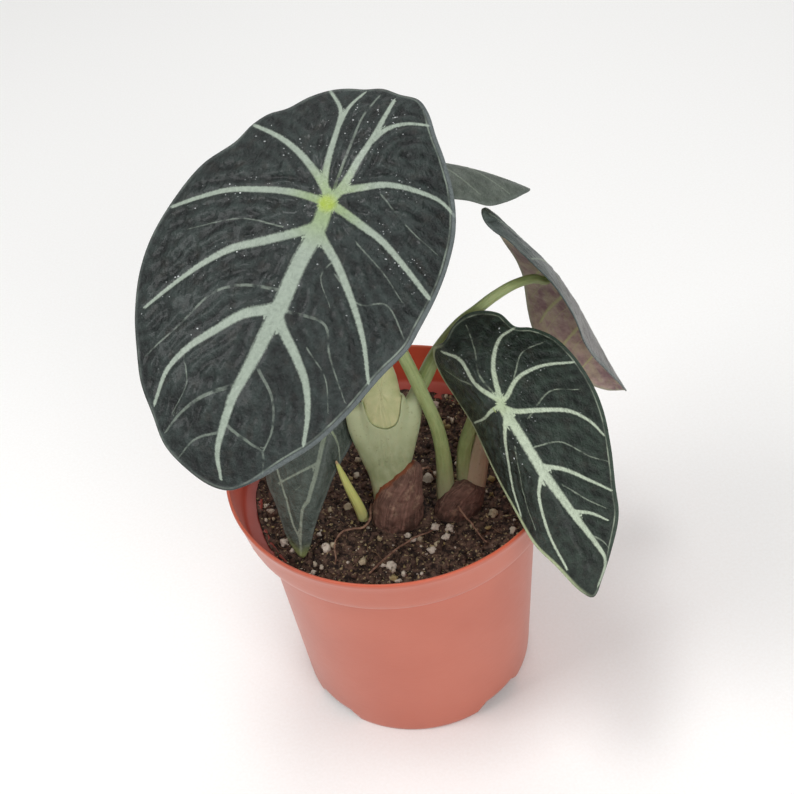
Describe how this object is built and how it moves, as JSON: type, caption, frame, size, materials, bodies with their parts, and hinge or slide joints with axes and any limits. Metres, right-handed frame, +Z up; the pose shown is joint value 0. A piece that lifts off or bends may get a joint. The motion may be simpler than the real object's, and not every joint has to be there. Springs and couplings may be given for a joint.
{
  "type": "potted alocasia",
  "caption": "Potted ninja alocasia: dark shield-shaped leaves with pale veins on slim petioles rising from corms in a terracotta-coloured plastic nursery pot of potting mix.",
  "frame": {"origin": "centre of the pot's flat underside, on the floor", "axes": "+Z up the pot's axis, -Y towards the front of the picture, +X to the right in the picture"},
  "size_m": [0.165, 0.1315, 0.2313],
  "materials": {
    "pot_plastic": "satin, salmon terracotta, thin moulded wall",
    "potting_mix": "matte, crumbly, damp",
    "blade": "satin, near-black green with pale green veins",
    "petiole": "satin, fresh green",
    "sheath": "satin, pale green",
    "corm": "matte, papery brown",
    "shoot": "satin, yellow-green",
    "root": "matte, pale brown",
    "perlite": "matte, off-white, porous"
  },
  "bodies": {
    "root": {"corm_main": "corm", "corm_side": "corm", "inner_sheath": "sheath", "leaf_blade_1": "blade", "leaf_blade_2": "blade", "leaf_blade_3": "blade", "leaf_blade_4": "blade", "leaf_blade_5": "blade", "main_sheath": "sheath", "new_shoot": "shoot", "perlite_1": "perlite", "perlite_10": "perlite", "perlite_11": "perlite", "perlite_12": "perlite", "perlite_13": "perlite", "perlite_14": "perlite", "perlite_2": "perlite", "perlite_3": "perlite", "perlite_4": "perlite", "perlite_5": "perlite", "perlite_6": "perlite", "perlite_7": "perlite", "perlite_8": "perlite", "perlite_9": "perlite", "petiole_1": "petiole", "petiole_2": "petiole", "petiole_3": "petiole", "petiole_4": "petiole", "petiole_5": "petiole", "pot": "pot_plastic", "potting_mix": "potting_mix", "root_1": "root", "root_2": "root", "root_3": "root", "side_sheath": "sheath"}
  },
  "joints": []
}
